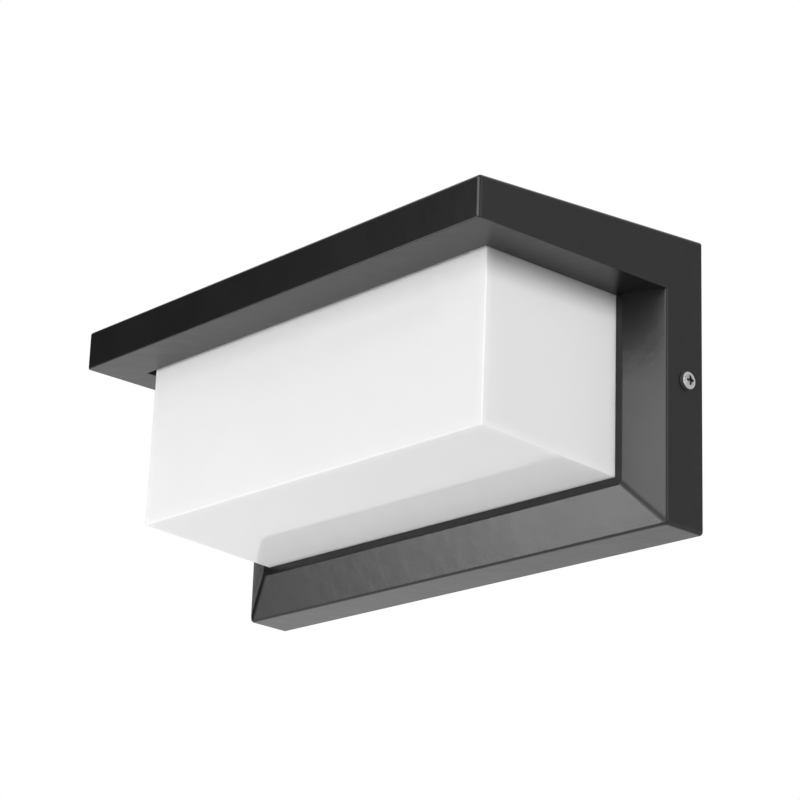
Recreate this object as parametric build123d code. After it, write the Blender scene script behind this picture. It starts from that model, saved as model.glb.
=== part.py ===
from build123d import *
import math
import os

# Sizes in millimetres. X runs along the wall, Y into it and Z up. The origin is the middle of the
# bracket's back on the wall plane, and depths are measured forward from that plane.

# Housing casting, measured on the wall plane, with draft angles in degrees
housing_width = 260.0
housing_height = 120.0
canopy_depth = 117.0
canopy_thickness = 24.8
leg_depth = 19.3
casting_wall = 2.5
side_draft = 0.9
top_fall = 2.3
underside_rise = 1.45
bottom_rise = 2.7
outer_edge_radius = 1.5
canopy_lip_radius = 0.5

# Raised bezel and the flat land beside the window
bezel_width = 17.5
bezel_rise = 7.0
land_width = 3.3
mitre_radius = 7.0
ridge_radius = 2.0

# Opal diffuser box
diffuser_depth = 95.0
diffuser_wall = 2.5
diffuser_side_draft = 0.74
diffuser_floor_rise = 5.0
diffuser_front_lean = 0.6
diffuser_cover = 4.0
diffuser_edge_radius = 0.4
flange_width = 4.0
flange_thickness = 2.0
window_clearance = 0.2
gasket_thickness = 1.5
gasket_clearance = 0.3

# Opening in the canopy's underside around the diffuser
opening_left_gap = 4.0
opening_right_gap = 0.5
opening_front_gap = 1.3

# Pressed tray behind the diffuser
tray_sheet = 1.0
tray_margin = 4.0
tray_head_room = 8.0
pan_depth = 23.0
pan_side_gap = 3.6
pan_floor_gap = 5.9
pan_top_gap = 5.6
tray_screw_radius = 1.5
tray_screw_length = 7.0
tray_boss_radius = 4.0
tray_boss_inset = 10.0
tray_upper_screw_z = 27.0
tray_lower_screw_rise = 11.0
tray_floor_screw_x = 45.0

# Side screws, sealing washers and the casting's screw lugs
side_screw_depth = 8.5
side_screw_radius = 2.0
side_screw_length = 12.0
side_screw_pitch = 0.7
side_screw_thread_height = 0.35
side_head_radius = 3.45
side_head_height = 1.6
washer_radius = 4.0
washer_thickness = 0.6
washer_edge_radius = 0.2
spot_face_radius = 4.5
lug_thickness = 5.0
lug_height = 12.0
lug_setback = 4.0
thread_clearance = 0.05
cheek_hole_clearance = 0.25
washer_clearance = 0.08

# Wall bracket and cable bush
bracket_thickness = 2.0
bracket_height = 40.0
bracket_tab_height = 24.0
bracket_tab_depth = 15.0
bracket_bend_radius = 2.5
tab_gap = 0.5
tab_slot_clearance = 0.3
wall_slot_spacing = 120.0
wall_slot_length = 15.0
wall_slot_width = 5.0
bush_bore_radius = 4.5
bush_body_radius = 7.5
bush_flange_radius = 10.0
bush_flange_thickness = 2.5
bush_edge_radius = 0.8
bush_clearance = 0.05

# LED boards, which take as many LEDs as the pan has room for
board_end_margin = 4.0
board_height = 20.0
board_thickness = 1.2
board_spacing = 36.0
board_screw_inset = 4.0
board_screw_radius = 1.25
led_pitch = 13.0
led_width = 3.5
led_height = 2.8
led_thickness = 0.7
connector_width = 12.0
connector_height = 5.0
connector_thickness = 4.5
connector_x = 4.0
connector_pole_pitch = 8.0
connector_edge_gap = 0.8

# Driver
driver_end_gap = 11.0
driver_length = 74.0
driver_height = 30.0
driver_depth = 16.0
driver_wall = 1.6
driver_ear_length = 7.0
driver_ear_height = 9.0
driver_ear_thickness = 2.0
driver_lip_height = 1.2
driver_screw_radius = 1.5
driver_board_thickness = 1.6
driver_board_lift = 3.0
driver_board_margin = 6.0
driver_post_radius = 2.0
driver_post_inset = 9.0
transformer_size = 13.0
transformer_tallness = 7.5
transformer_winding_share = 0.6
transformer_winding_bulge = 1.2
capacitor_radius = 3.5
capacitor_length = 12.0
capacitor_edge_radius = 0.8
capacitor_offset = 20.0

# Terminal block
block_left = 50.0
block_width = 16.0
block_pole_pitch = 10.0
block_pole_count = 3
block_depth = 12.0
block_screw_radius = 1.2
sleeve_radius = 2.3
sleeve_bore_radius = 1.3
sleeve_length = 13.0
clamp_screw_radius = 1.2
clamp_screw_head_radius = 1.6
clamp_screw_length = 2.6
clamp_screw_inset = 3.2
block_edge_radius = 1.0

# Earth bond
earth_x = 22.0
earth_drop = 4.0
earth_head_share = 1.5
earth_screw_radius = 2.0
earth_washer_radius = 4.5
earth_washer_thickness = 0.8
lug_ring_radius = 4.0
lug_ring_thickness = 0.8
lug_barrel_radius = 1.6
lug_barrel_length = 6.0

# Wires and the grommet that they pass through
lead_radius = 0.8
lead_gap = 0.6
lead_entry = 4.0
plug_entry = 1.5
supply_lead_lift = 5.0
supply_lead_run = 6.0
grommet_lead_in = 3.0
mains_lead_lift = 4.0
mains_lead_run = 18.0
mains_lead_rise = 9.0
mains_lead_pitch = 6.0
lead_bend_share = 0.45
grommet_bore_radius = 2.6
grommet_neck_radius = 4.0
grommet_flange_radius = 5.5
grommet_flange_thickness = 1.0

# Screw heads, as shares of the head they belong to
head_rim_share = 0.45
recess_depth_share = 0.6
recess_length_share = 1.1
recess_width_share = 0.27
recess_eye_share = 0.27
small_head_share = 1.9
small_head_height_share = 1.4
screw_tail = 1.0

# Small fits within the assembly, and how far a cutter or a joined boss runs past the face that it meets
hole_clearance = 0.2
snug = 0.05
cut_spare = 1.0

# Depths and widths that follow from the sizes above
land_depth = leg_depth + bezel_rise
seat_depth = leg_depth - casting_wall
flange_front = seat_depth - gasket_thickness
flange_back = flange_front - flange_thickness
tray_back = flange_back - tray_sheet
pan_back = pan_depth - tray_sheet
board_front = pan_depth + board_thickness


def slope(run, angle):
    return run * math.tan(math.radians(angle))


def half_width_at(depth):
    return housing_width / 2 - slope(depth, side_draft)


def top_at(depth):
    return housing_height / 2 - slope(depth, top_fall)


def underside_at(depth):
    return housing_height / 2 - canopy_thickness + slope(depth, underside_rise)


def bottom_at(depth):
    return -housing_height / 2 + slope(depth, bottom_rise)


def bezel_half_at(depth):
    return half_width_at(leg_depth) - (depth - leg_depth) * bezel_width / bezel_rise


def bezel_bottom_at(depth):
    return bottom_at(leg_depth) + (depth - leg_depth) * bezel_width / bezel_rise


def diffuser_half_at(depth):
    at_land = bezel_half_at(land_depth) - land_width - window_clearance
    return at_land - slope(depth - land_depth, diffuser_side_draft)


def diffuser_floor_at(depth):
    at_land = bezel_bottom_at(land_depth) + land_width + window_clearance
    return at_land + slope(depth - land_depth, diffuser_floor_rise)


leg_top = underside_at(leg_depth) + casting_wall
diffuser_top = underside_at(diffuser_depth) + casting_wall + diffuser_cover
pan_half_width = diffuser_half_at(pan_depth) - diffuser_wall - pan_side_gap
pan_low = diffuser_floor_at(pan_depth) + diffuser_wall + pan_floor_gap
pan_high = diffuser_top - diffuser_wall - pan_top_gap
pan_centre_z = (pan_low + pan_high) / 2
flange_half_width = diffuser_half_at(seat_depth) + flange_width
flange_low = diffuser_floor_at(seat_depth) - flange_width
flange_high = diffuser_top + flange_width
cheek_inside = half_width_at(side_screw_depth) - casting_wall
spot_face_x = half_width_at(side_screw_depth + washer_radius)
tab_outside = cheek_inside - tab_gap
tab_inside = tab_outside - bracket_thickness
lug_outside = tab_inside - tab_gap
lug_inside = lug_outside - lug_thickness
tray_half_width = lug_outside
tray_low = bottom_at(0) + casting_wall + tray_margin
tray_high = top_at(0) - tray_head_room
tray_side_screw_x = half_width_at(leg_depth) - tray_boss_inset
tray_lower_screw_z = bottom_at(leg_depth) + tray_lower_screw_rise
upper_board_z = pan_centre_z + board_spacing / 2
lower_board_z = pan_centre_z - board_spacing / 2
led_count = int(2 * (pan_half_width - board_end_margin) / led_pitch)
board_length = led_count * led_pitch + 2 * board_end_margin
driver_left = driver_end_gap - pan_half_width
driver_right = driver_left + driver_length
driver_low = pan_centre_z - driver_height / 2
driver_high = pan_centre_z + driver_height / 2
driver_back = pan_back - driver_depth
driver_floor = pan_back - driver_wall
block_right = block_left + block_width
block_back = pan_back - block_depth
sleeve_depth = pan_back - block_depth / 2
tray_screw_places = [
    (side * tray_side_screw_x, z) for side in (-1, 1) for z in (tray_upper_screw_z, tray_lower_screw_z)
]
tray_screw_places += [(side * tray_floor_screw_x, tray_lower_screw_z) for side in (-1, 1)]
board_screw_x = board_length / 2 - board_screw_inset
board_screw_places = [
    (side * board_screw_x, z) for side in (-1, 1) for z in (lower_board_z, upper_board_z)
]
ear_middle = driver_ear_length / 2
ear_rise = driver_low + driver_ear_height / 2
driver_screw_places = [(driver_left - ear_middle, ear_rise), (driver_right + ear_middle, ear_rise)]
top_pole_z = pan_centre_z + (block_pole_count - 1) * block_pole_pitch / 2
pole_heights = [top_pole_z - pole * block_pole_pitch for pole in range(block_pole_count)]
block_screw_place = ((block_left + block_right) / 2, top_pole_z - block_pole_pitch / 2)
earth_place = (earth_x, pan_centre_z - earth_drop)
driver_middle = (driver_left + driver_right) / 2
capacitor_places = [driver_middle - capacitor_offset, driver_middle + capacitor_offset]
post_reach = (driver_length / 2 - driver_post_inset, driver_height / 2 - driver_post_inset)
driver_post_places = [
    (driver_middle + side * post_reach[0], pan_centre_z + end * post_reach[1])
    for side in (-1, 1)
    for end in (-1, 1)
]
brown_lead_z = pan_centre_z + mains_lead_rise
blue_lead_z = brown_lead_z - mains_lead_pitch
supply_pole_x = connector_x - connector_pole_pitch / 2
link_pole_x = connector_x + connector_pole_pitch / 2
grommet_place = (supply_pole_x, pan_centre_z)
connector_lead_depth = board_front + connector_thickness / 2
supply_lead_depth = pan_back - supply_lead_lift
mains_lead_depth = driver_back + mains_lead_lift


def slab(x_low, x_high, depth_back, depth_front, z_low, z_high):
    centre = Pos((x_low + x_high) / 2, -(depth_back + depth_front) / 2, (z_low + z_high) / 2)
    return centre * Box(x_high - x_low, depth_front - depth_back, z_high - z_low)


def rod(radius, place, depth_back, depth_front):
    centre = Pos(place[0], -(depth_back + depth_front) / 2, place[1])
    return centre * Rot(90, 0, 0) * Cylinder(radius, depth_front - depth_back)


def cross_rod(radius, depth, z, x_low, x_high):
    centre = Pos((x_low + x_high) / 2, -depth, z)
    return centre * Rot(0, 90, 0) * Cylinder(radius, x_high - x_low)


def tapered_block(depth_back, depth_front, half_at, low_at, high_at, front_lean=0.0):
    ends = (depth_back, depth_front)
    reach = max(half_at(depth) for depth in ends) + cut_spare
    lowest = min(low_at(depth) for depth in ends) - cut_spare
    highest = max(high_at(depth) for depth in ends) + cut_spare
    leaning = slope(high_at(depth_front) - low_at(depth_front), front_lean)
    side = Polyline(
        (-depth_back, low_at(depth_back)),
        (-depth_back, high_at(depth_back)),
        (-depth_front + leaning, high_at(depth_front)),
        (-depth_front, low_at(depth_front)),
        close=True,
    )
    plan = Polyline(
        (-half_at(depth_back), -depth_back),
        (half_at(depth_back), -depth_back),
        (half_at(depth_front), -depth_front),
        (-half_at(depth_front), -depth_front),
        close=True,
    )
    from_side = extrude(Plane.YZ * make_face(side), reach, dir=(1, 0, 0), both=True)
    from_above = extrude(Pos(0, 0, lowest) * make_face(plan), highest - lowest, dir=(0, 0, 1))
    return from_side & from_above


def diffuser_block(grow, depth_back, depth_front, top, front_lean=0.0):
    return tapered_block(
        depth_back,
        depth_front,
        lambda depth: diffuser_half_at(depth) + grow,
        lambda depth: diffuser_floor_at(depth) - grow,
        lambda depth: top + grow,
        front_lean,
    )


def edges_clear_of_wall(shape):
    return shape.edges().filter_by(lambda edge: edge.center().Y < -cut_spare)


def outer_shape():
    canopy = tapered_block(0, canopy_depth, half_width_at, underside_at, top_at)
    canopy = fillet(edges_clear_of_wall(canopy) - lip_edges(canopy), outer_edge_radius)
    canopy = fillet(lip_edges(canopy), canopy_lip_radius)
    leg = tapered_block(0, leg_depth, half_width_at, bottom_at, lambda depth: leg_top)
    bezel = tapered_block(leg_depth, land_depth, bezel_half_at, bezel_bottom_at, lambda depth: leg_top)
    leg = leg + bezel
    leg = fillet(mitre_edges(leg), mitre_radius)
    leg = fillet(outer_leg_edges(leg), outer_edge_radius)
    leg = fillet(ridge_edges(leg), ridge_radius)
    return canopy + leg


def lip_edges(canopy):
    def on_lip(edge):
        middle = edge.center()
        return abs(middle.Z - underside_at(-middle.Y)) < cut_spare

    return edges_clear_of_wall(canopy).filter_by(on_lip)


def mitre_edges(leg):
    halfway = (leg_depth + land_depth) / 2
    corner = bezel_half_at(halfway)
    floor = bezel_bottom_at(halfway)

    def on_mitre(edge):
        middle = edge.center()
        return abs(abs(middle.X) - corner) < cut_spare and abs(middle.Z - floor) < cut_spare

    return leg.edges().filter_by(on_mitre)


def ridge_edges(leg):
    ridge = leg.faces().filter_by(Plane.XZ).sort_by(Axis.Y)[0]
    return ridge.edges().filter_by(lambda edge: edge.center().Z < leg_top - cut_spare)


def outer_leg_edges(leg):
    corner = half_width_at(leg_depth)
    floor = bottom_at(leg_depth)
    near = cut_spare

    def on_outside(edge):
        middle = edge.center()
        upright = abs(abs(middle.X) - corner) < near and abs(middle.Y + leg_depth) < near
        sill = abs(middle.Z - floor) < near and abs(middle.Y + leg_depth) < near
        runner = abs(abs(middle.X) - corner) < near and abs(middle.Z - floor) < near
        return middle.Z < leg_top - near and (upright or sill or (runner and middle.Y < -near))

    return leg.edges().filter_by(on_outside)


def inner_half(depth):
    return half_width_at(depth) - casting_wall


def make_housing():
    body = outer_shape()
    body -= tapered_block(
        -cut_spare,
        canopy_depth - casting_wall,
        inner_half,
        lambda depth: underside_at(depth) + casting_wall,
        lambda depth: top_at(depth) - casting_wall,
    )
    body -= tapered_block(
        -cut_spare,
        seat_depth,
        inner_half,
        lambda depth: bottom_at(depth) + casting_wall,
        lambda depth: leg_top + cut_spare,
    )
    body -= diffuser_block(
        window_clearance, seat_depth - cut_spare, land_depth + cut_spare, leg_top + cut_spare
    )
    body -= slab(
        -diffuser_half_at(diffuser_depth) - opening_left_gap,
        diffuser_half_at(land_depth) + opening_right_gap,
        land_depth,
        diffuser_depth + opening_front_gap,
        underside_at(0) - cut_spare,
        underside_at(canopy_depth) + casting_wall + cut_spare,
    )
    for place in tray_screw_places:
        body += rod(tray_boss_radius, place, flange_back, seat_depth + cut_spare)
    tray_hole_end = tray_back + tray_screw_length + cut_spare
    for place in tray_screw_places:
        body -= rod(tray_screw_radius + snug, place, flange_back - cut_spare, tray_hole_end)
    for side in (-1, 1):
        low, high = sorted((side * lug_inside, side * lug_outside))
        body += slab(low, high, lug_setback, seat_depth + cut_spare, -lug_height / 2, lug_height / 2)
        for radius, start, end in (
            (side_screw_radius + thread_clearance, lug_inside - cut_spare, lug_outside + cut_spare),
            (side_screw_radius + cheek_hole_clearance, cheek_inside - cut_spare, spot_face_x + cut_spare),
            (spot_face_radius, spot_face_x, spot_face_x + cut_spare),
        ):
            low, high = sorted((side * start, side * end))
            body -= cross_rod(radius, side_screw_depth, 0, low, high)
    return body


def make_diffuser():
    box = diffuser_block(0, flange_back, diffuser_depth, diffuser_top, diffuser_front_lean)
    outer_edges = box.edges().filter_by(lambda edge: edge.center().Y < -flange_back - cut_spare)
    box = fillet(outer_edges, diffuser_edge_radius)
    flange = slab(-flange_half_width, flange_half_width, flange_back, flange_front, flange_low, flange_high)
    hollow_front = diffuser_depth - diffuser_wall
    hollow = diffuser_block(
        -diffuser_wall, flange_back - cut_spare, hollow_front, diffuser_top, diffuser_front_lean
    )
    return box + flange - hollow


def make_gasket():
    strip = slab(-flange_half_width, flange_half_width, flange_front, seat_depth, flange_low, leg_top)
    return strip - diffuser_block(
        gasket_clearance, flange_front - cut_spare, seat_depth + cut_spare, leg_top + cut_spare
    )


def make_tray():
    rim = slab(-tray_half_width, tray_half_width, tray_back, flange_back, tray_low, tray_high)
    pan = slab(-pan_half_width, pan_half_width, tray_back, pan_depth, pan_low, pan_high)
    inner = pan_half_width - tray_sheet
    hollow = slab(
        -inner, inner, tray_back - cut_spare, pan_back, pan_low + tray_sheet, pan_high - tray_sheet
    )
    tray = rim + pan - hollow
    notch_half = lug_height / 2 + cut_spare
    for side in (-1, 1):
        low, high = sorted((side * (lug_inside - cut_spare), side * (tray_half_width + cut_spare)))
        tray -= slab(low, high, tray_back - cut_spare, flange_back + cut_spare, -notch_half, notch_half)
    for place in tray_screw_places:
        tray -= rod(tray_screw_radius + hole_clearance, place, tray_back - cut_spare, flange_back + cut_spare)
    floor_holes = [(board_screw_radius + snug, place) for place in board_screw_places]
    floor_holes += [(driver_screw_radius + snug, place) for place in driver_screw_places]
    floor_holes += [(block_screw_radius + snug, block_screw_place)]
    floor_holes += [(earth_screw_radius + snug, earth_place)]
    floor_holes += [(grommet_neck_radius + snug, grommet_place)]
    for radius, place in floor_holes:
        tray -= rod(radius, place, pan_back - cut_spare, pan_depth + cut_spare)
    return tray


def dome_arc(radius, foot, crown):
    sphere = (radius**2 + (crown - foot) ** 2) / (2 * (crown - foot))
    half_angle = math.asin(radius / sphere) / 2
    middle = (sphere * math.sin(half_angle), crown - sphere + sphere * math.cos(half_angle))
    return ThreePointArc((radius, foot), middle, (0, crown))


def pan_head_screw(radius, length, head_radius, head_height):
    rim = head_height * head_rim_share
    stem = [(0, head_height), (0, -length), (radius, -length), (radius, 0)]
    sides = Polyline(*stem, (head_radius, 0), (head_radius, rim))
    outline = make_face(sides.edges() + [dome_arc(head_radius, rim, head_height)])
    return revolve(Plane.XZ * outline, Axis.Z) - cross_recess(head_radius, head_height)


def cross_recess(head_radius, head_height):
    depth = head_height * recess_depth_share
    arm = Box(head_radius * recess_length_share, head_radius * recess_width_share, depth)
    eye = Cylinder(head_radius * recess_eye_share, depth)
    return Pos(0, 0, head_height - depth / 2) * (arm + Rot(0, 0, 90) * arm + eye)


def small_screw(radius, length):
    return pan_head_screw(radius, length, radius * small_head_share, radius * small_head_height_share)


def facing_wall(screw, place, seat):
    return Pos(place[0], -seat, place[1]) * Rot(-90, 0, 0) * screw


def facing_room(screw, place, seat):
    return Pos(place[0], -seat, place[1]) * Rot(90, 0, 0) * screw


def make_tray_screws():
    screw = small_screw(tray_screw_radius, tray_screw_length)
    return Compound(children=[facing_wall(screw, place, tray_back) for place in tray_screw_places])


def on_cheek(side, lift):
    return Pos(side * (spot_face_x + lift), -side_screw_depth, 0) * Rot(0, side * 90, 0)


def make_side_screw(side):
    tooth = side_screw_pitch / 2
    root = side_screw_radius - side_screw_thread_height
    crests = int(side_screw_length / side_screw_pitch)
    shank = [(0, 0), (0, -side_screw_length), (root, -side_screw_length)]
    for crest in range(crests):
        height = -side_screw_length + crest * side_screw_pitch
        shank += [(side_screw_radius, height + tooth), (root, height + side_screw_pitch)]
    shank += [(root, 0)]
    thread = revolve(Plane.XZ * make_face(Polyline(*shank, close=True)), Axis.Z)
    head = pan_head_screw(root, tooth, side_head_radius, side_head_height)
    return on_cheek(side, washer_thickness) * (thread + head)


def make_side_washer(side):
    ring = Cylinder(washer_radius, washer_thickness)
    ring = fillet(ring.edges().sort_by(Axis.Z)[-1], washer_edge_radius)
    ring -= Cylinder(side_screw_radius + washer_clearance, washer_thickness)
    return on_cheek(side, washer_thickness / 2) * ring


def make_bracket():
    half_height = bracket_height / 2
    tab_half = bracket_tab_height / 2
    strap = slab(-tab_outside, tab_outside, 0, bracket_thickness, -half_height, half_height)
    tabs = slab(-tab_outside, tab_outside, 0, bracket_tab_depth, -tab_half, tab_half)
    tabs -= slab(-tab_inside, tab_inside, bracket_thickness, bracket_tab_depth, -half_height, half_height)
    shoulder = tab_inside - bracket_bend_radius
    for side in (-1, 1):
        low, high = sorted((side * shoulder, side * (tab_outside + cut_spare)))
        for z_low, z_high in ((tab_half, half_height), (-half_height, -tab_half)):
            strap -= slab(low, high, -cut_spare, bracket_thickness + cut_spare, z_low, z_high)
    bracket = strap + tabs
    upright = bracket.edges().filter_by(Axis.Z)
    on_wall = upright.filter_by(lambda edge: edge.center().Y > -snug)
    bends = on_wall.filter_by(lambda edge: abs(abs(edge.center().X) - tab_outside) < snug)
    bracket = fillet(bends, bracket_bend_radius)
    slot_half = side_screw_radius + tab_slot_clearance
    bracket -= cross_rod(slot_half, side_screw_depth, 0, -tab_outside, tab_outside)
    bracket -= slab(-tab_outside, tab_outside, side_screw_depth, bracket_tab_depth, -slot_half, slot_half)
    slot_radius = wall_slot_width / 2
    slot_end = wall_slot_length / 2 - slot_radius
    for side in (-1, 1):
        middle = side * wall_slot_spacing / 2
        low, high = (middle - slot_end, middle + slot_end)
        bracket -= slab(low, high, 0, bracket_thickness, -slot_radius, slot_radius)
        for x in (low, high):
            bracket -= rod(slot_radius, (x, 0), 0, bracket_thickness)
    return bracket - rod(bush_body_radius + bush_clearance, (0, 0), 0, bracket_thickness)


def make_cable_bush():
    bush = rod(bush_body_radius, (0, 0), 0, bracket_thickness)
    lip = rod(bush_flange_radius, (0, 0), bracket_thickness, bracket_thickness + bush_flange_thickness)
    lip = fillet(lip.edges().sort_by(Axis.Y)[0], bush_edge_radius)
    return bush + lip - rod(bush_bore_radius, (0, 0), 0, bracket_thickness + bush_flange_thickness)


def make_board(z):
    half = board_height / 2
    board = slab(-board_length / 2, board_length / 2, pan_depth, board_front, z - half, z + half)
    for place in board_screw_places:
        board -= rod(board_screw_radius + hole_clearance, place, pan_depth, board_front)
    return board


def make_leds(z):
    first = -(led_count - 1) * led_pitch / 2
    chips = []
    for index in range(led_count):
        x = first + index * led_pitch
        chips.append(
            slab(
                x - led_width / 2,
                x + led_width / 2,
                board_front,
                board_front + led_thickness,
                z - led_height / 2,
                z + led_height / 2,
            )
        )
    return Compound(children=chips)


def make_board_screws():
    screw = small_screw(board_screw_radius, board_thickness + tray_sheet + screw_tail)
    return Compound(children=[facing_room(screw, place, board_front) for place in board_screw_places])


def connector_span(upper):
    side = 1 if upper else -1
    edge = pan_centre_z + side * (board_spacing / 2 - board_height / 2 + connector_edge_gap)
    return sorted((edge, edge + side * connector_height))


def make_connector(upper):
    low, high = connector_span(upper)
    half = connector_width / 2
    body = slab(
        connector_x - half, connector_x + half, board_front, board_front + connector_thickness, low, high
    )
    mouth = low if upper else high
    for x in (supply_pole_x, link_pole_x):
        hole = Cylinder(lead_radius + snug, 2 * plug_entry)
        body -= Pos(x, -connector_lead_depth, mouth) * hole
    return body


def smooth_path(points):
    radii = []
    for before, corner, after in zip(points, points[1:], points[2:]):
        arriving = Vector(*corner) - Vector(*before)
        leaving = Vector(*after) - Vector(*corner)
        turn = math.radians(arriving.get_angle(leaving))
        radii.append(lead_bend_share * min(arriving.length, leaving.length) / math.tan(turn / 2))
    return FilletPolyline(*points, radius=radii)


def lead(*stops):
    points = [(x, -depth, z) for x, depth, z in stops]
    path = smooth_path(points) if len(points) > 2 else Line(*points)
    return sweep(Plane(origin=path @ 0, z_dir=path % 0) * Circle(lead_radius), path)


def make_board_lead(upper):
    side = 1 if upper else -1
    low, high = connector_span(upper)
    plug_end = low + plug_entry if upper else high - plug_entry
    z = pan_centre_z + side * (lead_radius + lead_gap / 2)
    return lead(
        (driver_right - driver_wall, supply_lead_depth, z),
        (driver_right + supply_lead_run, supply_lead_depth, z),
        (supply_pole_x, pan_back - grommet_lead_in, z),
        (supply_pole_x, connector_lead_depth, z),
        (supply_pole_x, connector_lead_depth, plug_end),
    )


def make_link_lead():
    top = connector_span(True)[0] + plug_entry
    foot = connector_span(False)[1] - plug_entry
    return lead((link_pole_x, connector_lead_depth, foot), (link_pole_x, connector_lead_depth, top))


def make_mains_lead(start_z, pole):
    return lead(
        (driver_right - driver_wall, mains_lead_depth, start_z),
        (driver_right + mains_lead_run, mains_lead_depth, start_z),
        (block_left - mains_lead_run, sleeve_depth, pole_heights[pole]),
        (block_left + lead_entry, sleeve_depth, pole_heights[pole]),
    )


def make_earth_lead():
    barrel_depth = pan_back - lug_barrel_radius
    barrel_end = earth_x + lug_ring_radius + lug_barrel_length
    pole = pole_heights[-1]
    return lead(
        (block_left + lead_entry, sleeve_depth, pole),
        (block_left - lead_entry, sleeve_depth, pole),
        (barrel_end + lead_entry, barrel_depth, earth_place[1]),
        (barrel_end - lead_entry, barrel_depth, earth_place[1]),
    )


def make_lead_grommet():
    back = pan_back - grommet_flange_thickness
    front = pan_depth + grommet_flange_thickness
    grommet = rod(grommet_neck_radius, grommet_place, back, front)
    grommet += rod(grommet_flange_radius, grommet_place, back, pan_back)
    grommet += rod(grommet_flange_radius, grommet_place, pan_depth, front)
    return grommet - rod(grommet_bore_radius, grommet_place, back, front)


def driver_lead_holes():
    apart = lead_radius + lead_gap / 2
    places = [(supply_lead_depth, pan_centre_z + side * apart) for side in (-1, 1)]
    places += [(mains_lead_depth, z) for z in (brown_lead_z, blue_lead_z)]
    return places


def make_driver_case():
    lid_front = driver_back + driver_wall
    case = slab(driver_left, driver_right, lid_front, pan_back, driver_low, driver_high)
    case -= slab(
        driver_left + driver_wall,
        driver_right - driver_wall,
        lid_front,
        driver_floor,
        driver_low + driver_wall,
        driver_high - driver_wall,
    )
    for x, z in driver_post_places:
        case += rod(driver_post_radius, (x, z), driver_floor - driver_board_lift, driver_floor)
    ear_top = driver_low + driver_ear_height
    for low, high in (
        (driver_left - driver_ear_length, driver_left),
        (driver_right, driver_right + driver_ear_length),
    ):
        case += slab(low, high, pan_back - driver_ear_thickness, pan_back, driver_low, ear_top)
    for place in driver_screw_places:
        case -= rod(driver_screw_radius + hole_clearance, place, pan_back - driver_ear_thickness, pan_back)
    for depth, z in driver_lead_holes():
        case -= cross_rod(lead_radius + snug, depth, z, driver_right - driver_wall, driver_right)
    return case


def make_driver_lid():
    lid_front = driver_back + driver_wall
    lid = slab(driver_left, driver_right, driver_back, lid_front, driver_low, driver_high)
    inset = driver_wall + hole_clearance
    outer = slab(
        driver_left + inset,
        driver_right - inset,
        lid_front,
        lid_front + driver_lip_height,
        driver_low + inset,
        driver_high - inset,
    )
    inset += driver_wall
    inner = slab(
        driver_left + inset,
        driver_right - inset,
        lid_front,
        lid_front + driver_lip_height,
        driver_low + inset,
        driver_high - inset,
    )
    return lid + (outer - inner)


def make_driver_board():
    front = driver_floor - driver_board_lift
    return slab(
        driver_left + driver_board_margin,
        driver_right - driver_board_margin,
        front - driver_board_thickness,
        front,
        driver_low + driver_wall + hole_clearance,
        driver_high - driver_wall - hole_clearance,
    )


def make_transformer():
    foot = driver_floor - driver_board_lift - driver_board_thickness
    crown = foot - transformer_tallness
    half = transformer_size / 2
    left = driver_middle - half
    right = driver_middle + half
    core = slab(left, right, crown, foot, pan_centre_z - half, pan_centre_z + half)
    winding_half = half * transformer_winding_share
    winding = slab(
        left - transformer_winding_bulge,
        right + transformer_winding_bulge,
        crown + transformer_winding_bulge,
        foot - transformer_winding_bulge,
        pan_centre_z - winding_half,
        pan_centre_z + winding_half,
    )
    return core + winding


def make_capacitors():
    depth = driver_floor - driver_board_lift - driver_board_thickness - capacitor_radius
    half = capacitor_length / 2
    cans = []
    for x in capacitor_places:
        can = cross_rod(capacitor_radius, depth, pan_centre_z, x - half, x + half)
        cans.append(fillet(can.edges().filter_by(GeomType.CIRCLE), capacitor_edge_radius))
    return Compound(children=cans)


def make_driver_screws():
    screw = small_screw(driver_screw_radius, driver_ear_thickness + tray_sheet)
    seat = pan_back - driver_ear_thickness
    return Compound(children=[facing_wall(screw, place, seat) for place in driver_screw_places])


def clamp_screw_places():
    inset = (block_width - sleeve_length) / 2 + clamp_screw_inset
    return [(x, z) for z in pole_heights for x in (block_left + inset, block_right - inset)]


def make_terminal_block():
    half = block_pole_pitch * block_pole_count / 2
    block = slab(block_left, block_right, block_back, pan_back, pan_centre_z - half, pan_centre_z + half)
    block = fillet(block.edges().filter_by(Axis.X).group_by(Axis.Y)[-1], block_edge_radius)
    for z in pole_heights:
        block -= cross_rod(sleeve_radius + snug, sleeve_depth, z, block_left, block_right)
    for place in clamp_screw_places():
        block -= rod(clamp_screw_head_radius + snug, place, block_back, sleeve_depth)
    block -= rod(block_screw_radius + hole_clearance, block_screw_place, block_back, pan_back)
    head_room = block_screw_radius * small_head_share + hole_clearance
    return block - rod(head_room, block_screw_place, block_back, sleeve_depth)


def make_terminal_sleeves():
    inset = (block_width - sleeve_length) / 2
    sleeves = []
    for z in pole_heights:
        sleeve = cross_rod(sleeve_radius, sleeve_depth, z, block_left + inset, block_right - inset)
        sleeve -= cross_rod(sleeve_bore_radius, sleeve_depth, z, block_left, block_right)
        for x, height in clamp_screw_places():
            if height == z:
                sleeve -= rod(clamp_screw_radius + snug, (x, z), block_back, sleeve_depth)
        sleeves.append(sleeve)
    return Compound(children=sleeves)


def make_terminal_screws():
    tip = sleeve_depth - sleeve_bore_radius - snug
    seat = tip - clamp_screw_length
    head_height = clamp_screw_radius * small_head_height_share
    screw = pan_head_screw(clamp_screw_radius, clamp_screw_length, clamp_screw_head_radius, head_height)
    return Compound(children=[facing_wall(screw, place, seat) for place in clamp_screw_places()])


def make_block_screw():
    screw = small_screw(block_screw_radius, pan_depth - sleeve_depth)
    return facing_wall(screw, block_screw_place, sleeve_depth)


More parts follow.
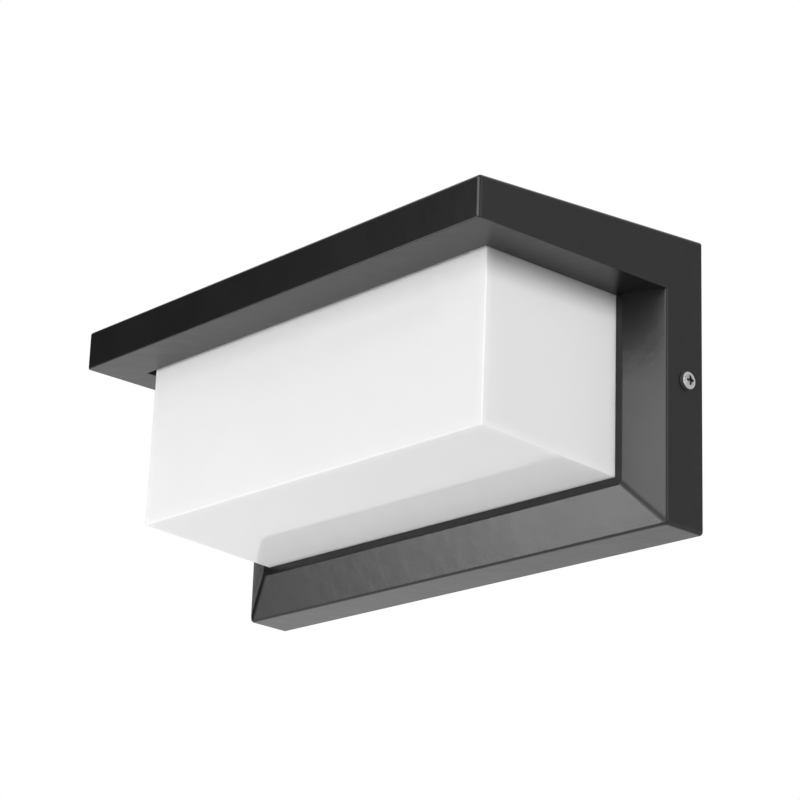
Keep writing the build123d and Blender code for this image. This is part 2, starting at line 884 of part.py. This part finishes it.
def make_earth_lug():
    ring = rod(lug_ring_radius, earth_place, pan_back - lug_ring_thickness, pan_back)
    start = earth_x + lug_ring_radius - lug_ring_thickness
    end = earth_x + lug_ring_radius + lug_barrel_length
    barrel = cross_rod(lug_barrel_radius, pan_back - lug_barrel_radius, earth_place[1], start, end)
    barrel -= cross_rod(
        lead_radius + snug, pan_back - lug_barrel_radius, earth_place[1], end - lead_entry, end
    )
    hole = rod(earth_screw_radius + hole_clearance, earth_place, pan_back - lug_ring_thickness, pan_back)
    return ring + barrel - hole


def make_earth_washer():
    front = pan_back - lug_ring_thickness
    back = front - earth_washer_thickness
    washer = rod(earth_washer_radius, earth_place, back, front)
    washer -= rod(earth_screw_radius + hole_clearance, earth_place, back, front)
    clear = earth_x + lug_ring_radius - lug_ring_thickness - hole_clearance
    return washer - slab(
        clear,
        earth_x + earth_washer_radius,
        back,
        front,
        earth_place[1] - earth_washer_radius,
        earth_place[1] + earth_washer_radius,
    )


def make_earth_screw():
    stack = lug_ring_thickness + earth_washer_thickness
    screw = pan_head_screw(
        earth_screw_radius,
        stack + tray_sheet + screw_tail,
        earth_screw_radius * earth_head_share,
        earth_screw_radius,
    )
    return facing_wall(screw, earth_place, pan_back - stack)


pieces = {
    "housing": make_housing(),
    "diffuser": make_diffuser(),
    "diffuser_gasket": make_gasket(),
    "led_tray": make_tray(),
    "tray_screws": make_tray_screws(),
    "right_screw": make_side_screw(1),
    "left_screw": make_side_screw(-1),
    "right_washer": make_side_washer(1),
    "left_washer": make_side_washer(-1),
    "wall_bracket": make_bracket(),
    "cable_bush": make_cable_bush(),
    "upper_board": make_board(upper_board_z),
    "lower_board": make_board(lower_board_z),
    "upper_leds": make_leds(upper_board_z),
    "lower_leds": make_leds(lower_board_z),
    "board_screws": make_board_screws(),
    "upper_connector": make_connector(True),
    "lower_connector": make_connector(False),
    "link_lead": make_link_lead(),
    "red_lead": make_board_lead(True),
    "black_lead": make_board_lead(False),
    "lead_grommet": make_lead_grommet(),
    "driver_case": make_driver_case(),
    "driver_lid": make_driver_lid(),
    "driver_board": make_driver_board(),
    "driver_transformer": make_transformer(),
    "driver_capacitors": make_capacitors(),
    "driver_screws": make_driver_screws(),
    "brown_lead": make_mains_lead(brown_lead_z, 0),
    "blue_lead": make_mains_lead(blue_lead_z, 1),
    "terminal_block": make_terminal_block(),
    "terminal_sleeves": make_terminal_sleeves(),
    "terminal_screws": make_terminal_screws(),
    "block_screw": make_block_screw(),
    "earth_lug": make_earth_lug(),
    "earth_washer": make_earth_washer(),
    "earth_screw": make_earth_screw(),
    "earth_lead": make_earth_lead(),
}

os.makedirs("parts", exist_ok=True)
for name, piece in pieces.items():
    export_step(piece, f"parts/{name}.step")
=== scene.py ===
import math

import bmesh
import bpy
from mathutils import Matrix, Vector


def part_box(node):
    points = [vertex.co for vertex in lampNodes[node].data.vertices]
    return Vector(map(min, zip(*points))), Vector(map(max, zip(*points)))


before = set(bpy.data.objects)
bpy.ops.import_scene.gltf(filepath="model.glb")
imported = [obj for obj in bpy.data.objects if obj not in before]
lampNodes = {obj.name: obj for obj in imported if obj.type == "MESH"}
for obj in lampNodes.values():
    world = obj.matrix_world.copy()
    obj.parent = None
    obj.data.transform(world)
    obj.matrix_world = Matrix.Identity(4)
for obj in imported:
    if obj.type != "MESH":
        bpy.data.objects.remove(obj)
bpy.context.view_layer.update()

print("frame loaded with", len(lampNodes), "pieces")


# short ways to wire up a finish

noiseEdge = (0.3, 0.7)  # where most of a noise's values lie


def newFinish(name):
    material = bpy.data.materials.new(name)
    material.use_nodes = True
    return material, material.node_tree, material.node_tree.nodes["Principled BSDF"]


def wire(tree, output, socket):
    tree.links.new(output, socket)


def places(tree, stretch=(1, 1, 1)):
    coords = tree.nodes.new("ShaderNodeTexCoord")
    mapping = tree.nodes.new("ShaderNodeMapping")
    mapping.inputs["Scale"].default_value = stretch
    wire(tree, coords.outputs["Object"], mapping.inputs["Vector"])
    return mapping.outputs["Vector"]


def speckle(tree, size, detail=3.0, stretch=(1, 1, 1)):
    noise = tree.nodes.new("ShaderNodeTexNoise")
    noise.inputs["Scale"].default_value = 1 / size
    noise.inputs["Detail"].default_value = detail
    wire(tree, places(tree, stretch), noise.inputs["Vector"])
    return noise.outputs["Fac"]


def between(tree, factor, low, high, edge=noiseEdge):
    spread = tree.nodes.new("ShaderNodeMapRange")
    spread.inputs["From Min"].default_value = edge[0]
    spread.inputs["From Max"].default_value = edge[1]
    spread.inputs["To Min"].default_value = low
    spread.inputs["To Max"].default_value = high
    wire(tree, factor, spread.inputs["Value"])
    return spread.outputs["Result"]


def tint(tree, factor, dark, light, edge=noiseEdge):
    ramp = tree.nodes.new("ShaderNodeValToRGB")
    ramp.color_ramp.elements[0].position = edge[0]
    ramp.color_ramp.elements[1].position = edge[1]
    ramp.color_ramp.elements[0].color = (*dark, 1)
    ramp.color_ramp.elements[1].color = (*light, 1)
    wire(tree, factor, ramp.inputs["Fac"])
    return ramp.outputs["Color"]


def dents(tree, height, depth, strength, below=None):
    bump = tree.nodes.new("ShaderNodeBump")
    bump.inputs["Strength"].default_value = strength
    bump.inputs["Distance"].default_value = depth
    wire(tree, height, bump.inputs["Height"])
    if below:
        wire(tree, below, bump.inputs["Normal"])
    return bump.outputs["Normal"]


def sums(tree, kind, first, second=None):
    node = tree.nodes.new("ShaderNodeMath")
    node.operation = kind
    for socket, value in zip(node.inputs, (first, second)):
        if value is None:
            continue
        if isinstance(value, (int, float)):
            socket.default_value = value
        else:
            wire(tree, value, socket)
    return node.outputs["Value"]


def axisOf(tree, letter):
    split = tree.nodes.new("ShaderNodeSeparateXYZ")
    wire(tree, places(tree), split.inputs["Vector"])
    return split.outputs[letter]


# how far up a piece a point is, from -1 at its bottom to 1 at its top
def shareOfHeight(tree, name):
    low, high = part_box(name)
    middle = (low[2] + high[2]) / 2
    half = (high[2] - low[2]) / 2
    return sums(tree, "DIVIDE", sums(tree, "SUBTRACT", axisOf(tree, "Z"), middle), half)


def blurred(share, blur):
    return share - blur, share + blur


def dress(material, *names):
    for name in names:
        mesh = lampNodes[name].data
        mesh.materials.clear()
        mesh.materials.append(material)


# black powder coat on the casting: a fine orange peel on slow waves, under an even semi-gloss
coat = {
    "dark": (0.0075, 0.0075, 0.0077),
    "light": (0.0095, 0.0095, 0.0098),
    "gloss": (0.27, 0.33),
    "specular": 0.45,
    "peelSize": 0.0018,
    "peelDetail": 2.0,
    "peelDepth": 0.00006,
    "peelStrength": 0.5,
    "waveSize": 0.009,
    "waveDetail": 1.0,
    "waveDepth": 0.0002,
    "waveStrength": 0.6,
    "cloudSize": 0.03,
    "cloudEdge": (0.1, 0.9),
}


def dressHousing():
    material, tree, shader = newFinish("blackPowderCoat")
    cloud = speckle(tree, coat["cloudSize"])
    colour = tint(tree, cloud, coat["dark"], coat["light"], coat["cloudEdge"])
    wire(tree, colour, shader.inputs["Base Color"])
    wire(tree, between(tree, cloud, *coat["gloss"], coat["cloudEdge"]), shader.inputs["Roughness"])
    wave = speckle(tree, coat["waveSize"], coat["waveDetail"])
    peel = speckle(tree, coat["peelSize"], coat["peelDetail"])
    waves = dents(tree, wave, coat["waveDepth"], coat["waveStrength"])
    skin = dents(tree, peel, coat["peelDepth"], coat["peelStrength"], waves)
    wire(tree, skin, shader.inputs["Normal"])
    shader.inputs["Specular IOR Level"].default_value = coat["specular"]
    dress(material, "housing")


# opal acrylic: white all through, with a moulded gloss
opal = {
    "dark": (0.9, 0.9, 0.897),
    "light": (0.915, 0.915, 0.912),
    "gloss": (0.06, 0.09),
    "specular": 0.32,
    "cloudSize": 0.04,
    "cloudDetail": 2.0,
    "rippleSize": 0.02,
    "rippleDetail": 1.0,
    "rippleDepth": 0.00008,
    "rippleStrength": 0.02,
    "glow": 0.6,
    "glowReach": 0.005,
}


def dressDiffuser():
    material, tree, shader = newFinish("opalAcrylic")
    cloud = speckle(tree, opal["cloudSize"], opal["cloudDetail"])
    ripple = speckle(tree, opal["rippleSize"], opal["rippleDetail"])
    skin = dents(tree, ripple, opal["rippleDepth"], opal["rippleStrength"])
    wire(tree, tint(tree, cloud, opal["dark"], opal["light"]), shader.inputs["Base Color"])
    wire(tree, between(tree, cloud, *opal["gloss"]), shader.inputs["Roughness"])
    wire(tree, skin, shader.inputs["Normal"])
    shader.inputs["Specular IOR Level"].default_value = opal["specular"]
    shader.inputs["Subsurface Weight"].default_value = opal["glow"]
    shader.inputs["Subsurface Radius"].default_value = (1, 1, 1)
    shader.inputs["Subsurface Scale"].default_value = opal["glowReach"]
    dress(material, "diffuser")


dressHousing()
dressDiffuser()
print("casting and diffuser finished")


# turned steel of the side screws: fine scratches around the screw's axis
steel = {
    "dark": (0.39, 0.39, 0.395),
    "light": (0.51, 0.51, 0.515),
    "gloss": (0.2, 0.34),
    "scratchSize": 0.0012,
    "scratchStretch": (8, 1, 1),
    "scratchDepth": 0.00001,
    "scratchStrength": 0.2,
}

# painted shade, with a little grime, in the cross recess of a side screw: below the head's crown and
# near the screw's axis
recessShadeAndGrime = {
    "shade": (0.08, 0.08, 0.08),
    "depth": (0.0003, 0.00055),
    "reach": (0.0019, 0.002),
}

# bright zinc plate on pressed and fastening steel: a soft bluish grain drawn along the strip
zinc = {
    "dark": (0.49, 0.5, 0.52),
    "light": (0.61, 0.62, 0.635),
    "gloss": (0.3, 0.42),
    "scratchSize": 0.0014,
    "scratchStretch": (0.04, 1, 1),
    "scratchDepth": 0.00002,
    "scratchStrength": 0.15,
}

# yellow brass, dulled a little
brass = {
    "dark": (0.5, 0.34, 0.12),
    "light": (0.72, 0.53, 0.24),
    "gloss": (0.24, 0.4),
    "scratchSize": 0.002,
    "scratchStretch": (0.3, 1, 1),
    "scratchDepth": 0.00001,
    "scratchStrength": 0.15,
}

# tinned copper of the earth lug
tin = {
    "dark": (0.5, 0.49, 0.47),
    "light": (0.68, 0.67, 0.65),
    "gloss": (0.3, 0.42),
    "scratchSize": 0.002,
    "scratchStretch": (1, 1, 1),
    "scratchDepth": 0.00001,
    "scratchStrength": 0.1,
}
scratchDetail = 4.0


def metalFinish(name, look):
    material, tree, shader = newFinish(name)
    scratch = speckle(tree, look["scratchSize"], scratchDetail, look["scratchStretch"])
    groove = dents(tree, scratch, look["scratchDepth"], look["scratchStrength"])
    wire(tree, tint(tree, scratch, look["dark"], look["light"]), shader.inputs["Base Color"])
    wire(tree, between(tree, scratch, *look["gloss"]), shader.inputs["Roughness"])
    wire(tree, groove, shader.inputs["Normal"])
    shader.inputs["Metallic"].default_value = 1
    return material


def dressSideScrews():
    material = metalFinish("turnedSteel", steel)
    tree = material.node_tree
    low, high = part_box("right_screw")
    depth = sums(tree, "SUBTRACT", high[0], sums(tree, "ABSOLUTE", axisOf(tree, "X")))
    sideways = sums(tree, "SUBTRACT", axisOf(tree, "Y"), (low[1] + high[1]) / 2)
    upward = sums(tree, "SUBTRACT", axisOf(tree, "Z"), (low[2] + high[2]) / 2)
    squares = sums(tree, "ADD", sums(tree, "POWER", sideways, 2), sums(tree, "POWER", upward, 2))
    # painted shade with a little grime: the recess below the crown and near the axis is mixed towards a
    # dark shade colour
    sunken = between(tree, depth, 0, 1, recessShadeAndGrime["depth"])
    inner = between(tree, sums(tree, "SQRT", squares), 1, 0, recessShadeAndGrime["reach"])
    colour = tree.nodes.new("ShaderNodeMixRGB")
    colour.inputs["Color2"].default_value = (*recessShadeAndGrime["shade"], 1)
    base = tree.nodes["Principled BSDF"].inputs["Base Color"]
    wire(tree, sums(tree, "MULTIPLY", sunken, inner), colour.inputs["Fac"])
    wire(tree, base.links[0].from_socket, colour.inputs["Color1"])
    wire(tree, colour.outputs["Color"], base)
    dress(material, "right_screw", "left_screw")


dressSideScrews()
dress(
    metalFinish("zincPlate", zinc),
    "wall_bracket",
    "tray_screws",
    "board_screws",
    "driver_screws",
    "terminal_screws",
    "block_screw",
    "earth_washer",
)
dress(metalFinish("dullBrass", brass), "terminal_sleeves", "earth_screw")
dress(metalFinish("tinnedCopper", tin), "earth_lug")
print("metal pieces finished")


# moulded and painted pieces, and the sleeves of the plain wires
wireSkin = {"gloss": (0.25, 0.35), "grainSize": 0.004, "grainDepth": 0.00001}
mouldings = {
    "blackNylon": {
        "dark": (0.012, 0.012, 0.012),
        "light": (0.02, 0.02, 0.02),
        "gloss": (0.45, 0.6),
        "grainSize": 0.0008,
        "grainDepth": 0.00002,
        "pieces": ("right_washer", "left_washer"),
    },
    "blackRubber": {
        "dark": (0.014, 0.014, 0.015),
        "light": (0.024, 0.024, 0.025),
        "gloss": (0.6, 0.8),
        "grainSize": 0.001,
        "grainDepth": 0.00004,
        "pieces": ("cable_bush", "lead_grommet"),
    },
    "greySilicone": {
        "dark": (0.42, 0.42, 0.41),
        "light": (0.5, 0.5, 0.49),
        "gloss": (0.4, 0.55),
        "grainSize": 0.002,
        "grainDepth": 0.00002,
        "pieces": ("diffuser_gasket",),
    },
    "whitePaint": {
        "dark": (0.74, 0.74, 0.73),
        "light": (0.8, 0.8, 0.79),
        "gloss": (0.3, 0.4),
        "grainSize": 0.0012,
        "grainDepth": 0.00003,
        "pieces": ("led_tray",),
    },
    "whitePlastic": {
        "dark": (0.7, 0.7, 0.68),
        "light": (0.77, 0.77, 0.75),
        "gloss": (0.38, 0.5),
        "grainSize": 0.0009,
        "grainDepth": 0.00003,
        "pieces": ("driver_case", "driver_lid", "terminal_block", "upper_connector", "lower_connector"),
    },
    "redWire": {
        "dark": (0.38, 0.012, 0.012),
        "light": (0.5, 0.022, 0.02),
        "pieces": ("red_lead",),
        **wireSkin,
    },
    "blackWire": {
        "dark": (0.012, 0.012, 0.012),
        "light": (0.022, 0.022, 0.022),
        "pieces": ("black_lead",),
        **wireSkin,
    },
    "whiteWire": {
        "dark": (0.68, 0.68, 0.66),
        "light": (0.76, 0.76, 0.74),
        "pieces": ("link_lead",),
        **wireSkin,
    },
    "brownWire": {
        "dark": (0.1, 0.042, 0.018),
        "light": (0.15, 0.065, 0.03),
        "pieces": ("brown_lead",),
        **wireSkin,
    },
    "blueWire": {
        "dark": (0.02, 0.07, 0.28),
        "light": (0.035, 0.1, 0.4),
        "pieces": ("blue_lead",),
        **wireSkin,
    },
}
grainStrength = 0.3


def dressMouldings():
    for name, look in mouldings.items():
        material, tree, shader = newFinish(name)
        grain = speckle(tree, look["grainSize"])
        skin = dents(tree, grain, look["grainDepth"], grainStrength)
        wire(tree, tint(tree, grain, look["dark"], look["light"]), shader.inputs["Base Color"])
        wire(tree, between(tree, grain, *look["gloss"]), shader.inputs["Roughness"])
        wire(tree, skin, shader.inputs["Normal"])
        dress(material, *look["pieces"])


dressMouldings()
print("mouldings and wires finished")


def patchyGloss(tree, shader, look):
    grain = speckle(tree, look["grainSize"])
    wire(tree, between(tree, grain, *look["gloss"]), shader.inputs["Roughness"])


# earth wire: yellow bands wound around green
earthWire = {
    "green": (0.05, 0.28, 0.03),
    "yellow": (0.72, 0.55, 0.03),
    "turn": 0.004,
    "lean": 0.8,
    "bandEdge": (0.58, 0.62),
    "gloss": (0.25, 0.35),
    "grainSize": 0.003,
}


def dressEarthLead():
    material, tree, shader = newFinish("earthWire")
    leaning = sums(tree, "MULTIPLY", axisOf(tree, "Y"), earthWire["lean"])
    along = sums(tree, "ADD", axisOf(tree, "X"), leaning)
    turns = sums(tree, "FRACT", sums(tree, "DIVIDE", along, earthWire["turn"]))
    bands = tint(tree, turns, earthWire["green"], earthWire["yellow"], earthWire["bandEdge"])
    wire(tree, bands, shader.inputs["Base Color"])
    patchyGloss(tree, shader, earthWire)
    dress(material, "earth_lead")


# white mask on the LED boards, with faint copper runs showing through it
board = {
    "mask": (0.74, 0.75, 0.73),
    "run": (0.66, 0.67, 0.63),
    "runWidth": 0.006,
    "runEdge": (0.46, 0.5),
    "gloss": (0.3, 0.42),
    "grainSize": 0.002,
}


def dressBoards():
    material, tree, shader = newFinish("whiteBoardMask")
    across = sums(tree, "FRACT", sums(tree, "DIVIDE", axisOf(tree, "Z"), board["runWidth"]))
    runs = tint(tree, across, board["mask"], board["run"], board["runEdge"])
    wire(tree, runs, shader.inputs["Base Color"])
    patchyGloss(tree, shader, board)
    dress(material, "upper_board", "lower_board")


# LED packages: a yellow phosphor window in a white frame
led = {
    "frame": (0.78, 0.78, 0.75),
    "phosphor": (0.85, 0.6, 0.08),
    "windowShare": 0.62,
    "windowBlur": 0.03,
    "gloss": (0.2, 0.3),
    "grainSize": 0.001,
}


def dressLeds():
    edge = blurred(led["windowShare"], led["windowBlur"])
    for name in ("upper_leds", "lower_leds"):
        material, tree, shader = newFinish("phosphor_" + name)
        share = sums(tree, "ABSOLUTE", shareOfHeight(tree, name))
        window = tint(tree, share, led["phosphor"], led["frame"], edge)
        wire(tree, window, shader.inputs["Base Color"])
        patchyGloss(tree, shader, led)
        dress(material, name)


# green mask on the driver's circuit board
circuit = {
    "mask": (0.01, 0.1, 0.035),
    "run": (0.02, 0.16, 0.06),
    "runSize": 0.004,
    "runDetail": 1.0,
    "runEdge": (0.49, 0.51),
    "gloss": (0.25, 0.4),
    "grainSize": 0.002,
}


def dressCircuit():
    material, tree, shader = newFinish("greenBoardMask")
    patches = speckle(tree, circuit["runSize"], circuit["runDetail"])
    runs = tint(tree, patches, circuit["mask"], circuit["run"], circuit["runEdge"])
    wire(tree, runs, shader.inputs["Base Color"])
    patchyGloss(tree, shader, circuit)
    dress(material, "driver_board")


# driver's transformer: yellow tape between two ends of bare ferrite
transformer = {
    "ferrite": (0.03, 0.03, 0.032),
    "tape": (0.62, 0.42, 0.05),
    "tapeShare": 0.6,
    "tapeBlur": 0.01,
    "gloss": (0.4, 0.6),
    "grainSize": 0.001,
}


def dressTransformer():
    material, tree, shader = newFinish("tapedFerrite")
    share = sums(tree, "ABSOLUTE", shareOfHeight(tree, "driver_transformer"))
    edge = blurred(transformer["tapeShare"], transformer["tapeBlur"])
    bands = tint(tree, share, transformer["tape"], transformer["ferrite"], edge)
    wire(tree, bands, shader.inputs["Base Color"])
    patchyGloss(tree, shader, transformer)
    dress(material, "driver_transformer")


# driver's capacitors: a dark blue sleeve with a pale stripe
capacitor = {
    "sleeve": (0.012, 0.03, 0.12),
    "stripe": (0.5, 0.52, 0.55),
    "stripeShare": 0.75,
    "stripeBlur": 0.02,
    "gloss": (0.2, 0.3),
    "grainSize": 0.002,
}


def dressCapacitors():
    material, tree, shader = newFinish("blueSleeve")
    share = shareOfHeight(tree, "driver_capacitors")
    edge = blurred(capacitor["stripeShare"], capacitor["stripeBlur"])
    bands = tint(tree, share, capacitor["sleeve"], capacitor["stripe"], edge)
    wire(tree, bands, shader.inputs["Base Color"])
    patchyGloss(tree, shader, capacitor)
    dress(material, "driver_capacitors")


dressEarthLead()
dressBoards()
dressLeds()
dressCircuit()
dressTransformer()
dressCapacitors()
print("electrics finished")


# stage: white world, and well below the lamp a pale floor that fades to white away from its shadow
stage = {
    "floorHeight": -0.85,
    "floorReach": 6.0,
    "floorSquares": 8,
    "floorColour": (0.9, 0.9, 0.9),
    "floorWhite": 0.5,
    "floorFade": (0.7, 2.6),
    "fill": 0.24,
    "white": 1.0,
}
aimAt = Vector((0, -0.05, 0))  # what the softboxes and the cards face


def seenRays(tree):
    rays = tree.nodes.new("ShaderNodeLightPath")
    straight = sums(tree, "MAXIMUM", rays.outputs["Is Camera Ray"], rays.outputs["Is Glossy Ray"])
    return sums(tree, "MAXIMUM", straight, rays.outputs["Is Transmission Ray"])


def makeWorld():
    world = bpy.data.worlds.new("whiteSweep")
    world.use_nodes = True
    bpy.context.scene.world = world
    tree = world.node_tree
    backdrop = tree.nodes["Background"]
    backdrop.inputs["Color"].default_value = (1, 1, 1, 1)
    level = between(tree, seenRays(tree), stage["fill"], stage["white"], (0, 1))
    wire(tree, level, backdrop.inputs["Strength"])


def makeSheet(name, reach, squares):
    mesh = bpy.data.meshes.new(name)
    shape = bmesh.new()
    bmesh.ops.create_grid(shape, x_segments=squares, y_segments=squares, size=reach / 2)
    shape.to_mesh(mesh)
    shape.free()
    sheet = bpy.data.objects.new(name, mesh)
    bpy.context.scene.collection.objects.link(sheet)
    return sheet


def paperFinish(name, colour):
    material = bpy.data.materials.new(name)
    material.use_nodes = True
    tree = material.node_tree
    tree.nodes.remove(tree.nodes["Principled BSDF"])
    paper = tree.nodes.new("ShaderNodeBsdfDiffuse")
    paper.inputs["Color"].default_value = (*colour, 1)
    return material, tree, paper.outputs["BSDF"], tree.nodes["Material Output"].inputs["Surface"]


def makeFloor():
    floor = makeSheet("paleFloor", stage["floorReach"], stage["floorSquares"])
    floor.location.z = stage["floorHeight"]
    material, tree, paper, surface = paperFinish("palePaper", stage["floorColour"])
    white = tree.nodes.new("ShaderNodeEmission")
    distance = tree.nodes.new("ShaderNodeVectorMath")
    distance.operation = "LENGTH"
    wire(tree, places(tree), distance.inputs[0])
    whiteness = between(
        tree, distance.outputs["Value"], stage["floorWhite"], stage["white"], stage["floorFade"]
    )
    blend = tree.nodes.new("ShaderNodeMixShader")
    wire(tree, sums(tree, "MULTIPLY", seenRays(tree), whiteness), blend.inputs["Fac"])
    wire(tree, paper, blend.inputs[1])
    wire(tree, white.outputs["Emission"], blend.inputs[2])
    wire(tree, blend.outputs["Shader"], surface)
    floor.data.materials.append(material)


# softboxes: place and size in metres, and how bright each face looks beside white paper
# one that isn't mirrored lights the lamp without showing in its shiny faces
# a gleam stands just before its softbox and shows only in shiny faces
# it spares the opal, which would burn out to white from some sides
softboxes = {
    "frontBox": {
        "place": (0.1, -1.3, 0.39),
        "size": (1.6, 0.5),
        "level": 1.2,
    },
    "frontGleam": {
        "place": (0.099, -1.288, 0.386),
        "size": (1.6, 0.5),
        "level": 2.4,
        "lights": False,
        "spares": "diffuser",
    },
    "lowBox": {
        "place": (-0.51, -0.78, -0.296),
        "size": (0.46, 0.26),
        "level": 6.6,
        "mirrored": False,
    },
    "lowGleam": {
        "place": (-0.505, -0.773, -0.293),
        "size": (0.46, 0.26),
        "level": 6.6,
        "lights": False,
        "spares": "diffuser",
    },
    "sideBox": {
        "place": (1.2, -0.25, 0.36),
        "size": (0.6, 0.5),
        "level": 8.4,
    },
    "levelBox": {
        "place": (0.1, -1.3, -0.12),
        "size": (1.6, 0.4),
        "level": 3.0,
        "mirrored": False,
    },
    "backBox": {
        "place": (0, 1.3, 0.5),
        "size": (1.2, 0.6),
        "level": 2.6,
        "mirrored": False,
    },
    "floorBox": {
        "place": (-0.45, 0.1, -0.45),
        "size": (1.6, 1.4),
        "level": 0.54,
        "mirrored": False,
    },
}


def facing(place, target):
    return (Vector(target) - Vector(place)).to_track_quat("-Z", "Y")


def makeSoftboxes():
    for name, box in softboxes.items():
        width, height = box["size"]
        lamp = bpy.data.lights.new(name, "AREA")
        lamp.shape = "RECTANGLE"
        lamp.size = width
        lamp.size_y = height
        lamp.energy = box["level"] * math.pi * width * height
        holder = bpy.data.objects.new(name, lamp)
        holder.location = box["place"]
        holder.rotation_euler = facing(box["place"], aimAt).to_euler()
        holder.visible_camera = False
        holder.visible_diffuse = box.get("lights", True)
        holder.visible_glossy = box.get("mirrored", True)
        bpy.context.scene.collection.objects.link(holder)
        if "spares" in box:
            spared = bpy.data.collections.new(name)
            spared.objects.link(lampNodes[box["spares"]])
            spared.collection_objects[0].light_linking.link_state = "EXCLUDE"
            holder.light_linking.receiver_collection = spared


# cards that only the shiny faces mirror: dark on the left and above the camera, pale behind on the right
cards = {
    "leftCard": {"place": (-0.844, -0.456, 0.24), "size": (1.3, 0.88), "shade": 0.01},
    "topCard": {"place": (0.877, -0.364, 0.325), "size": (1.1, 0.6), "shade": 0.01},
    "rearCard": {"place": (0.764, 0.579, 0.345), "size": (0.8, 0.7), "shade": 0.73},
}
cardSquares = 2


def makeCards():
    for name, card in cards.items():
        holder = makeSheet(name, 1, cardSquares)
        holder.location = card["place"]
        holder.rotation_euler = facing(card["place"], aimAt).to_euler()
        holder.scale = (*card["size"], 1)
        holder.visible_camera = False
        holder.visible_diffuse = False
        holder.visible_shadow = False
        material, tree, paper, surface = paperFinish(name, [card["shade"]] * 3)
        wire(tree, paper, surface)
        holder.data.materials.append(material)


# camera of the photograph: low, in front and to the right, a long lens held a little askew
photoCamera = {
    "place": (0.75366, -0.67698, -0.29962),
    "aim": (0.02378, -0.06398, 0.00288),
    "roll": 1.94,
    "lens": 111.1,
    "sensor": 36.0,
}


def makeCamera():
    camera = bpy.data.cameras.new("photoCamera")
    camera.lens = photoCamera["lens"]
    camera.sensor_width = photoCamera["sensor"]
    holder = bpy.data.objects.new("photoCamera", camera)
    turn = facing(photoCamera["place"], photoCamera["aim"]).to_matrix().to_4x4()
    askew = Matrix.Rotation(math.radians(photoCamera["roll"]), 4, "Z")
    holder.matrix_world = Matrix.Translation(photoCamera["place"]) @ turn @ askew
    bpy.context.scene.collection.objects.link(holder)
    bpy.context.scene.camera = holder


makeWorld()
makeFloor()
makeSoftboxes()
makeCards()
makeCamera()
bpy.context.scene.view_settings.view_transform = "Standard"
print("stage, lights and camera set")

bpy.context.view_layer.update()
